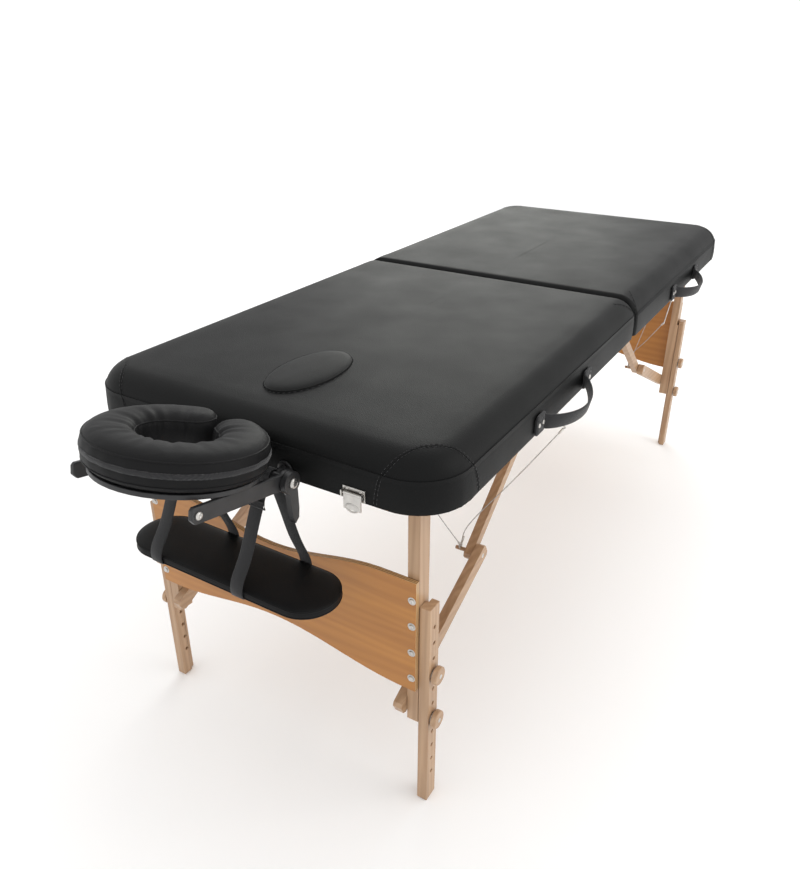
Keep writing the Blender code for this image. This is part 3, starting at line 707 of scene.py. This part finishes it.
def make_hem(end, body):
    """The vinyl folded under the rails and stapled there, on the three outer sides."""
    outline = table_outline(end, 0.0004)
    inner = table_outline(end, 0.0135)
    z = UNDERSIDE - 0.0003
    kept = [i for i, (x, _) in enumerate(outline) if abs(x) > 0.04]
    first = next(k for k in range(len(kept)) if kept[k] - kept[k - 1] not in (1, 1 - len(outline)))
    order = kept[first:] + kept[:first]
    verts, faces = [], []
    for i in order:
        wobble = 0.0012 * math.sin(i * 1.7) + 0.0008 * math.sin(i * 0.6)
        verts += [(*outline[i], z), (inner[i][0] + wobble, inner[i][1] + wobble, z)]
        verts += [(*outline[i], z + 0.0002), (inner[i][0] + wobble, inner[i][1] + wobble, z + 0.0002)]
    for k in range(len(order) - 1):
        a, b = 4 * k, 4 * k + 4
        faces += [(a, a + 1, b + 1, b), (a + 2, b + 2, b + 3, a + 3), (a + 1, a + 3, b + 3, b + 1)]
    hem = piece(END_NAMES[end] + "_hem", verts, faces, VINYL)
    parts = []
    for k in range(2, len(order) - 2, 4):
        i = order[k]
        a, b = Vector((*outline[i], z)), Vector((*inner[i], z))
        middle = a.lerp(b, 0.55)
        along = (Vector((*outline[order[k + 1]], z)) - a).normalized()
        path = [middle - along * 0.005 - Z * -0.0002, middle - along * 0.0045 - Z * 0.0004]
        path += [middle + along * 0.0045 - Z * 0.0004, middle + along * 0.005 - Z * -0.0002]
        parts.append(tube("staple", path, 0.00045, STEEL, 5))
    staples = merged(END_NAMES[end] + "_staples", parts)
    for made, slot in ((hem, "vinyl"), (staples, "steel")):
        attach(made, body)


# ---------------------------------------------------------------- face cradle


def tilted(along, y, height):
    """A point of the tilted cradle, from its pivot: along its arms, across, and above their middle."""
    cos, sin = math.cos(CRADLE_TILT), math.sin(CRADLE_TILT)
    return Vector((PIVOT.x - along * cos + height * sin, y, PIVOT.z + along * sin + height * cos))


def horseshoe(half, arm, mouth, count=72, tip=8):
    """A closed horseshoe open towards the table, with rounded tips, as (along, y) from its centre."""
    middle = (half[0] - arm / 2, half[1] - arm / 2)
    gap = math.asin((mouth + arm * 0.36) / half[1])
    outline = []
    spine = []
    for i in range(count + 1):
        angle = gap + (2 * math.pi - 2 * gap) * i / count
        spine.append(Vector((middle[0] * math.cos(angle), middle[1] * math.sin(angle))))
    normals = []
    for i in range(len(spine)):
        step = spine[min(i + 1, count)] - spine[max(i - 1, 0)]
        normals.append(Vector((step.y, -step.x)).normalized())
    width = arm / 2
    for point, normal in zip(spine, normals):
        outline.append(point + normal * width)
    ahead = (spine[-1] - spine[-2]).normalized() * 0.9
    for i in range(1, tip):
        turn = math.pi * i / tip
        outline.append(spine[-1] + (normals[-1] * math.cos(turn) + ahead * math.sin(turn)) * width)
    for point, normal in reversed(list(zip(spine, normals))):
        outline.append(point - normal * width)
    back = (spine[0] - spine[1]).normalized() * 0.9
    for i in range(1, tip):
        turn = math.pi * i / tip
        outline.append(spine[0] + (back * math.sin(turn) - normals[0] * math.cos(turn)) * width)
    return outline


def cushion_ring(outline, height):
    return [tilted(FACE_ALONG - point.x, point.y, height) for point in outline]


def make_face_cushion():
    """The horseshoe cushion: a swollen body with gathered creases, piped seams and a zip in its band."""
    levels = [(0.0, 0.012), (0.006, 0.004), (0.014, 0.001), (0.030, 0.0)]
    levels += [(0.044, 0.002), (0.052, 0.008), (0.057, 0.018)]
    rings = []
    for height, inset in levels:
        half = (FACE_HALF[0] - inset, FACE_HALF[1] - inset)
        outline = horseshoe(half, FACE_ARM - 2 * inset, FACE_MOUTH)
        rings.append(cushion_ring(outline, FACE_BASE + height))
    cushion = lofted("face_cushion_pad", rings, CRADLE_VINYL)
    base = FACE_BASE + 0.004
    normal = tilted(0, 0, 1) - tilted(0, 0, 0)
    cushion = inflated(
        cushion, 0.005, 4.0, 0.006, lambda point: (Vector(point) - PIVOT).dot(normal) < base, frames=14
    )
    crease(cushion, normal)
    tree = surface_of(cushion)
    parts = []
    for height, inset in ((0.047, 0.001), (0.009, 0.001)):
        half = (FACE_HALF[0] - inset, FACE_HALF[1] - inset)
        path = cushion_ring(horseshoe(half, FACE_ARM - 2 * inset, FACE_MOUTH), FACE_BASE + height)
        points, _ = on_surface(tree, path, 0.0002)
        parts.append(tube("welt", points, 0.0014, CRADLE_VINYL, 8, closed=True))
    for height in (0.0245, 0.0315):
        path = cushion_ring(horseshoe(FACE_HALF, FACE_ARM, FACE_MOUTH)[:73], FACE_BASE + height)
        points, _ = on_surface(tree, path, 0.0001)
        parts.append(tube("zip_edge", points, 0.0007, THREAD, 6))
    welts = merged("face_cushion_seams", parts)
    path = cushion_ring(horseshoe(FACE_HALF, FACE_ARM, FACE_MOUTH)[:73], FACE_BASE + 0.028)
    points, normals = on_surface(tree, path, 0.0003)
    tape = strap("face_cushion_zip", points, normals, 0.006, 0.0012, ZIP)
    for made in (cushion, welts, tape):
        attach(made, "cradle")
    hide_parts("face_cushion")


def crease(cushion, normal):
    """Presses soft radial creases into the top round the inner edge, as gathered vinyl has."""
    mesh = cushion.data
    points = np.array([vertex.co for vertex in mesh.vertices])
    normals = np.array([vertex.normal for vertex in mesh.vertices])
    centre = np.array(tilted(FACE_ALONG, 0, FACE_BASE))
    up = np.array(normal)
    ahead = np.array(tilted(1, 0, 0) - tilted(0, 0, 0))
    local = points - centre
    along, across, height = local @ ahead, local[:, 1], local @ up
    angle = np.arctan2(across, along)
    radius = np.hypot(along / FACE_HALF[0], across / FACE_HALF[1])
    near_hole = np.clip((0.86 - radius) / 0.45, 0.0, 1.0) * np.clip((height - 0.012) / 0.03, 0.0, 1.0)
    folds = np.sin(angle * 19 + 1.3 * np.sin(angle * 3)) + 0.5 * np.sin(angle * 31 + 2.0)
    band = np.clip(1 - np.abs(height - 0.028) / 0.022, 0.0, 1.0) * np.clip((radius - 0.85) / 0.1, 0.0, 1.0)
    drag = np.sin(angle * 23 + height * 60) * 0.0005 * band
    points += normals * (folds * 0.0011 * near_hole + drag)[:, None]
    mesh.vertices.foreach_set("co", points.ravel())


def make_shelf():
    """The arm shelf: a board under a thin pad, with a piped edge top and bottom."""
    low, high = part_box("arm_shelf")
    centre, half = (low + high) / 2, (high - low) / 2
    count = 26

    def ring(inset, z):
        radius = half.x - inset
        reach = half.y - half.x
        points = []
        for side, first in ((1, 0.0), (-1, math.pi)):
            for step in range(count + 1):
                angle = first + math.pi * step / count
                x = centre.x + radius * math.cos(angle)
                y = centre.y + side * reach + radius * math.sin(angle)
                points.append(Vector((x, y, z)))
        return points

    levels = [(0.004, low.z), (0.001, low.z + 0.001), (0.0, low.z + 0.004), (0.0, high.z - 0.004)]
    levels += [(0.0015, high.z - 0.0015), (0.005, high.z - 0.0002), (0.012, high.z + 0.0012)]
    levels += [(0.024, high.z + 0.0022), (0.040, high.z + 0.0026), (0.054, high.z + 0.0027)]
    shelf = lofted("arm_shelf_pad", [ring(inset, z) for inset, z in levels], CRADLE_VINYL)
    tree = surface_of(shelf)
    parts = []
    for inset, z in ((0.0006, high.z - 0.0026), (0.0006, low.z + 0.0026)):
        points, _ = on_surface(tree, ring(inset, z), 0.0002)
        parts.append(tube("welt", points, 0.0012, CRADLE_VINYL, 8, closed=True))
    welts = merged("arm_shelf_welts", parts)
    for made in (shelf, welts):
        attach(made, "arm_shelf")
    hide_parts("arm_shelf")


def make_shelf_strap(side):
    """A sling strap of webbing: under the shelf's front edge, over the cross tube and down to the back."""
    node = "shelf_strap_" + SIDE_NAMES[side]
    low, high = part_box("arm_shelf")
    front_y, back_y = {RIGHT: (-0.059, -0.106), LEFT: (0.122, 0.056)}[side]
    top_y = (front_y + back_y) / 2
    clear, over = 0.0020, 0.0126
    thick = high.z - low.z
    points = [(low.x + 0.024, front_y, low.z - clear), (low.x + 0.006, front_y, low.z - clear)]
    points += [(low.x - clear, front_y, low.z + thick * 0.3), (low.x + 0.001, front_y, high.z + 0.012)]
    shares = (0.3, 0.6, 0.85)
    tangent_x = PIVOT.x - over
    for share in shares:
        x = low.x + 0.003 + (tangent_x - low.x) * share
        points.append((x, front_y + (top_y - front_y) * share, high.z + (PIVOT.z - high.z) * share))
    for degrees in (180, 135, 90, 45, 0):
        turn = math.radians(degrees)
        points.append((PIVOT.x + over * math.cos(turn), top_y, PIVOT.z + over * math.sin(turn)))
    for share in reversed(shares):
        x = high.x - 0.003 + (PIVOT.x + over - high.x) * share
        points.append((x, back_y + (top_y - back_y) * share, high.z + (PIVOT.z - high.z) * share))
    points += [(high.x - 0.001, back_y, high.z + 0.012), (high.x + clear, back_y, low.z + thick * 0.3)]
    points += [(high.x - 0.006, back_y, low.z - clear), (high.x - 0.024, back_y, low.z - clear)]
    path = smooth_path(points, 6)
    normals = [ahead.cross(Y).normalized() for ahead in directions(path)]
    web = strap(node + "_webbing", path, normals, 0.025, 0.0022, WEBBING)
    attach(web, "arm_shelf")
    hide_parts(node)
    buckle_z = PIVOT.z - 0.045
    buckle = [(dx, dz) for dx, dz in ((-0.0155, -0.006), (0.0155, -0.006), (0.0155, 0.006), (-0.0155, 0.006))]
    place = next(point for point in path if point.x < PIVOT.x - 0.01 and point.z > buckle_z)
    loop = [place + Y * dx + Z * dz + X * -0.0022 for dx, dz in buckle]
    slider = tube(node + "_slider", loop, 0.0016, PLASTIC, 8, closed=True)
    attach(slider, "arm_shelf")


def make_cradle_fittings():
    """The cradle's end bolts and cam bolts, and a collar where each rod enters the table."""
    for side in (RIGHT, LEFT):
        name = SIDE_NAMES[side]
        arm_face = abs(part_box("cradle_arm_" + name)[0 if side == RIGHT else 1].y)
        outer = tilted(0.186, side * arm_face, 0.0)
        head = round_head("cradle_end_bolt_" + name, outer, Y * side, 0.0062, 0.0040, STEEL, recess=0.3)
        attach(head, "cradle")
        cam_face = abs(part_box("cradle_cam_" + name)[0 if side == RIGHT else 1].y)
        hub = (PIVOT.x, side * cam_face, PIVOT.z)
        cap = round_head("cradle_cam_bolt_" + name, hub, Y * side, 0.0085, 0.0055, STEEL)
        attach(cap, "cradle_cam_" + name)
        collar_x = -HALF_LENGTH - 0.0012
        mouth = (collar_x, side * ROD_Y, PIVOT.z)
        flange = round_head("rod_collar_" + name, mouth, -X, 0.0145, 0.0032, BLACK_METAL, 0.2)
        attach(flange, "table_head")


# ---------------------------------------------------------------- handles, latches, cables, bolts


def make_handle(end):
    """A carry handle: a bowed webbing strap folded over at each end under a riveted square patch."""
    node = END_NAMES[end] + "_handle"
    low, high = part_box(node)
    side_y = -HALF_WIDTH - 0.003
    reach, middle_z = side_y - low.y - 0.0025, high.z - HANDLE_MIDDLE_DROP
    near, far = HANDLE_NEAR, HANDLE_FAR
    steps = 44
    path, normals = [], []
    for step in range(steps + 1):
        share = step / steps
        bow = math.sin(math.pi * share) ** 0.7 if 0 < share < 1 else 0.0
        x = end * (far + (near - far) * share)
        path.append(Vector((x, side_y - reach * bow, middle_z - 0.011 * bow)))
        normals.append(Vector((0, -1, -0.25 * bow)))
    ends = [
        Vector((end * (far + 0.030), side_y + 0.0005, middle_z)),
        Vector((end * (near - 0.030), side_y + 0.0005, middle_z)),
    ]
    path = [ends[0], *path, ends[1]]
    normals = [normals[0], *normals, normals[-1]]
    web = strap(node + "_webbing", path, normals, 0.027, 0.0042, WEBBING)
    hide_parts(node)
    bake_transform(web)
    parts = []
    for x, outward in ((near, -1), (far, 1)):
        centre = Vector((end * (x + outward * 0.013), side_y - 0.0022, middle_z))
        half_x, half_z = 0.020, 0.019
        patch = smooth_square(centre, half_x, half_z, 0.0022)
        parts.append(patch)
        corners = [(-1, -1), (1, -1), (1, 1), (-1, 1), (-1, -1)]
        box = [centre + X * half_x * 0.78 * u + Z * half_z * 0.78 * v - Y * 0.0013 for u, v in corners]
        cross = [box[0], box[2]], [box[1], box[3]]
        for line in (box, *cross):
            dense = [a.lerp(b, k / 12) for a, b in zip(line, line[1:]) for k in range(12)] + [line[-1]]
            parts.append(stitches("patch_stitch", dense, [-Y] * len(dense), 0.0, 0.0026, 0.0012))
        for dx in (-0.009, 0.009):
            parts.append(round_head("rivet", centre + X * dx - Y * 0.001, -Y, 0.0042, 0.0020, STEEL))
    patches = merged(node + "_patches", parts)
    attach(patches, "table_" + END_NAMES[end])


def smooth_square(centre, half_x, half_z, thickness):
    """A thin square of webbing with rounded corners, facing -Y."""

    def ring(scale, y):
        points = []
        for angle in circle(40):
            c, s = math.cos(angle), math.sin(angle)
            x = half_x * scale * math.copysign(abs(c) ** 0.35, c)
            z = half_z * scale * math.copysign(abs(s) ** 0.35, s)
            points.append(centre + Vector((x, y, z)))
        return points

    rings = [ring(1.0, thickness), ring(1.0, -thickness * 0.2)]
    rings += [ring(0.95, -thickness * 0.5), ring(0.2, -thickness * 0.5)]
    return lofted("patch", rings, WEBBING)


def make_cable(end, side):
    """The knee cable of one leg: two strands from the knee bolt, crimped at each end."""
    node = "_".join((END_NAMES[end], SIDE_NAMES[side], "cable"))
    low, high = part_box(node)
    table, struts = "table_" + END_NAMES[end], END_NAMES[end] + "_upper_struts"
    knee = Vector((end * KNEE_X, side * CABLE_KNEE_Y, low.z + CABLE_RADIUS))
    top = Vector((end * CABLE_TOP_X, side * CABLE_TOP_Y, high.z))
    hook = Vector((end * HOOK_X, side * HOOK_Y, HOOK_Z))
    rail = Vector((end * RAIL_HOOK_X, side * HOOK_Y, UNDERSIDE - 0.001))
    over = knee + Vector((-end * 0.026, side * 0.006, 0.040))
    strands = {
        "long": smooth_path([top, top.lerp(knee, 0.5) - Z * 0.004, knee], 14),
        "short": smooth_path([hook, hook.lerp(over, 0.5) - Z * 0.003, over, knee], 10),
    }
    for label, path in strands.items():
        start = path[0]
        parts = [twisted("strand", path, 0.0011)]
        ahead = (path[1] - path[0]).normalized()
        parts.append(tube("crimp", [start + ahead * 0.004, start + ahead * 0.018], 0.0022, STEEL, 10))
        back = (path[-2] - path[-1]).normalized()
        parts.append(tube("crimp", [path[-1] + back * 0.006, path[-1] + back * 0.020], 0.0022, STEEL, 10))
        strand = merged(node + "_" + label, parts)
        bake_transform(strand)
        if label == "long":
            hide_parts(node)
    shank = hook + (rail - hook) * 0.25 + Z * 0.002
    bend = smooth_path([rail, shank, hook - Z * 0.002, hook + X * -end * 0.003], 8)
    hanger = tube(node + "_hook", bend, 0.0014, STEEL, 8)
    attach(hanger, table)
    loop = [knee + (X * math.cos(a) + Z * math.sin(a)) * 0.0052 for a in circle(20)]
    eye = tube(node + "_eye", loop, 0.0016, STEEL, 8, True)
    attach(eye, struts)


def twisted(name, path, radius):
    """A cable of six visible wires: a tube whose section is lobed and turns along its length."""
    sides = 12
    across = Z
    rings = []
    travelled = 0.0
    for i, (point, ahead) in enumerate(zip(path, directions(path))):
        if i:
            travelled += (point - path[i - 1]).length
        across = (across - ahead * across.dot(ahead)).normalized()
        other = ahead.cross(across)
        ring = []
        for k, turn in enumerate(circle(sides)):
            angle = turn + travelled * 90
            size = radius * (1.0 if k % 2 else 0.86)
            ring.append(point + (across * math.cos(angle) + other * math.sin(angle)) * size)
        rings.append(ring)
    return lofted(name, rings, CABLE)


def make_leg_fittings(end, side):
    """The panel bolts, the knee bolt's head, and a washer and a stud on each knob."""
    prefix = END_NAMES[end] + "_" + SIDE_NAMES[side]
    panel_low, panel_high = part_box(END_NAMES[end] + "_leg_panel")
    face_x = panel_low.x if end == HEAD else panel_high.x
    top, bottom = panel_high.z, panel_low.z
    parts = []
    for share in (0.16, 0.39, 0.635, 0.88):
        z = top + (bottom - top) * share
        centre = (face_x, side * PANEL_BOLT_Y, z)
        on_washer = (face_x + end * 0.0008, side * PANEL_BOLT_Y, z)
        parts.append(round_head("washer", centre, X * end, 0.0075, 0.0010, STEEL, 0.1))
        parts.append(round_head("bolt", on_washer, X * end, 0.0050, 0.0032, STEEL, 0.4, 0.35))
    bolts = merged(prefix + "_panel_bolts", parts)
    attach(bolts, END_NAMES[end] + "_legs")
    leg_low, leg_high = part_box(prefix + "_leg")
    strut_face = min(abs(leg_low.y), abs(leg_high.y)) - STRUT_CLEARANCE
    height, proud = 0.0040, 0.0003
    knee = Vector((end * KNEE_X, side * (strut_face + proud - height), KNEE_Z))
    head = round_head(prefix + "_knee_bolt", knee, Y * side, 0.0075, height, STEEL, recess=0.3)
    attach(head, END_NAMES[end] + "_lower_struts")
    for label in ("upper", "lower"):
        knob = prefix + "_knob_" + label
        low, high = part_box(knob)
        centre = (low + high) / 2
        disc_radius = (high.x - low.x) / 2
        face = max(abs(low.y), abs(high.y))
        back = face - KNOB_THICKNESS
        behind = (centre.x, side * (back - 0.0028), centre.z)
        washer = round_head(knob + "_washer", behind, Y * side, disc_radius * 0.62, 0.0022, STEEL, 0.1)
        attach(washer, knob)
        tip = (centre.x, side * (face - 0.0004), centre.z)
        stud = round_head(knob + "_stud", tip, Y * side, 0.0042, 0.0016, STEEL, 0.2)
        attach(stud, knob)


def make_latch_fittings():
    for side in (RIGHT, LEFT):
        name = SIDE_NAMES[side]
        low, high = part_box("latch_%s_base" % name)
        y = (low.y + high.y) / 2
        parts = []
        for dy in (-0.0125, 0.0125):
            centre = (high.x - 0.0024, y + dy, high.z - 0.0035)
            parts.append(round_head("screw", centre, -X, 0.0028, 0.0014, STEEL, 0.3, 0.3))
        screws = merged("latch_%s_screws" % name, parts)
        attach(screws, "table_head")
        lever_low, lever_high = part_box("latch_%s_lever" % name)
        x = (lever_low.x + lever_high.x) / 2 - 0.001
        z = lever_low.z + 0.004
        ring = [Vector((x, y + 0.011 * math.cos(a), z + 0.007 * math.sin(a))) for a in circle(24)]
        bail = tube("latch_%s_bail" % name, ring, 0.0014, STEEL, 8, closed=True)
        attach(bail, "latch_%s_lever" % name)


# ---------------------------------------------------------------- finish of the CAD nodes


def softened(node, width):
    """Rounds a CAD node's edges with modifiers, and shades its faces evenly."""
    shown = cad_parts[node]
    shown.data.polygons.foreach_set("use_smooth", [True] * len(shown.data.polygons))
    weld = shown.modifiers.new("weld", "WELD")
    weld.merge_threshold = 0.00002
    bevel = shown.modifiers.new("edges", "BEVEL")
    bevel.width = width
    bevel.segments = 2
    bevel.limit_method = "ANGLE"
    bevel.angle_limit = math.radians(38)
    shown.modifiers.new("shading", "WEIGHTED_NORMAL")


def dress_cad():
    """Each carried-over CAD node gets its material and softened edges."""
    along = {
        "leg": "Z",
        "extension": "Z",
        "hanger_bar": "Y",
        "strut_bar": "Y",
        "frame": "X",
        "knob_upper": "X",
        "knob_lower": "X",
        "lower_strut": "X",
        "upper_strut": "X",
    }
    for node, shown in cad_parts.items():
        finish, width = None, 0.0006
        if node.endswith("leg_panel"):
            finish, width = PANEL, 0.0012
        elif node.startswith("cradle_arm") or node.startswith("cradle_cam") or node == "cradle_platform":
            finish, width = PLASTIC, 0.0012
        elif node == "cradle_frame":
            finish, width = BLACK_METAL, 0.0008
        elif node.startswith(("hinge", "latch")) or node.endswith("leg_rod"):
            finish, width = STEEL, 0.0003
        else:
            for ending, axis in along.items():
                if node.endswith(ending):
                    finish, width = WOOD[axis], 0.0013
        if finish is None:
            continue
        shown.data.materials.clear()
        shown.data.materials.append(finish)
        softened(node, width)


# ---------------------------------------------------------------- stage


def make_stage():
    """A pale floor, soft light from the right and above, and the camera."""
    far = FLOOR_REACH
    corners = [(-far, -far, 0), (far, -far, 0), (far, far, 0), (-far, far, 0)]
    floor = piece("floor", corners, [(0, 1, 2, 3)], floor_finish())
    floor.location.z = -FLOOR_DROP
    world = bpy.data.worlds.new("studio")
    bpy.context.scene.world = world
    bpy.context.scene.view_settings.view_transform = "Standard"
    world.use_nodes = True
    world.node_tree.nodes["Background"].inputs["Color"].default_value = (1.0, 1.0, 1.0, 1.0)
    world.node_tree.nodes["Background"].inputs["Strength"].default_value = 1.06
    for name, place, size, power, colour in (
        ("key", (0.6, -3.4, 2.6), 2.4, 34.0, (1.0, 0.98, 0.95)),
        ("top", (1.2, 0.6, 3.4), 2.6, 16.0, (1.0, 1.0, 1.0)),
        ("rim", (3.6, 1.8, 1.9), 2.2, 30.0, (0.98, 1.0, 0.93)),
    ):
        light = bpy.data.lights.new(name, "AREA")
        light.energy = power
        light.size = size
        light.color = colour
        lamp = bpy.data.objects.new(name, light)
        lamp.location = place
        aim = LIGHT_AIM - Vector(place)
        lamp.rotation_euler = aim.to_track_quat("-Z", "Y").to_euler()
        bpy.context.scene.collection.objects.link(lamp)
    camera = bpy.data.cameras.new("camera")
    camera.sensor_width = 36.0
    camera.sensor_fit = "HORIZONTAL"
    camera.lens = CAMERA_LENS
    eye = bpy.data.objects.new("camera", camera)
    eye.location = CAMERA_PLACE
    eye.rotation_euler = CAMERA_TURN
    bpy.context.scene.collection.objects.link(eye)
    bpy.context.scene.camera = eye


def floor_finish():
    made = Shader("pale_floor", (0.97, 0.97, 0.97), 0.7)
    made.roughness(made.range(made.noise(2.0), 0.65, 0.75))
    return made.material


def build():
    make_stage()
    dress_cad()
    make_top()
    make_face_cushion()
    make_shelf()
    make_cradle_fittings()
    make_latch_fittings()
    for end in (HEAD, FOOT):
        make_handle(end)
        for side in (RIGHT, LEFT):
            make_cable(end, side)
            make_leg_fittings(end, side)
    for side in (RIGHT, LEFT):
        make_shelf_strap(side)


build()
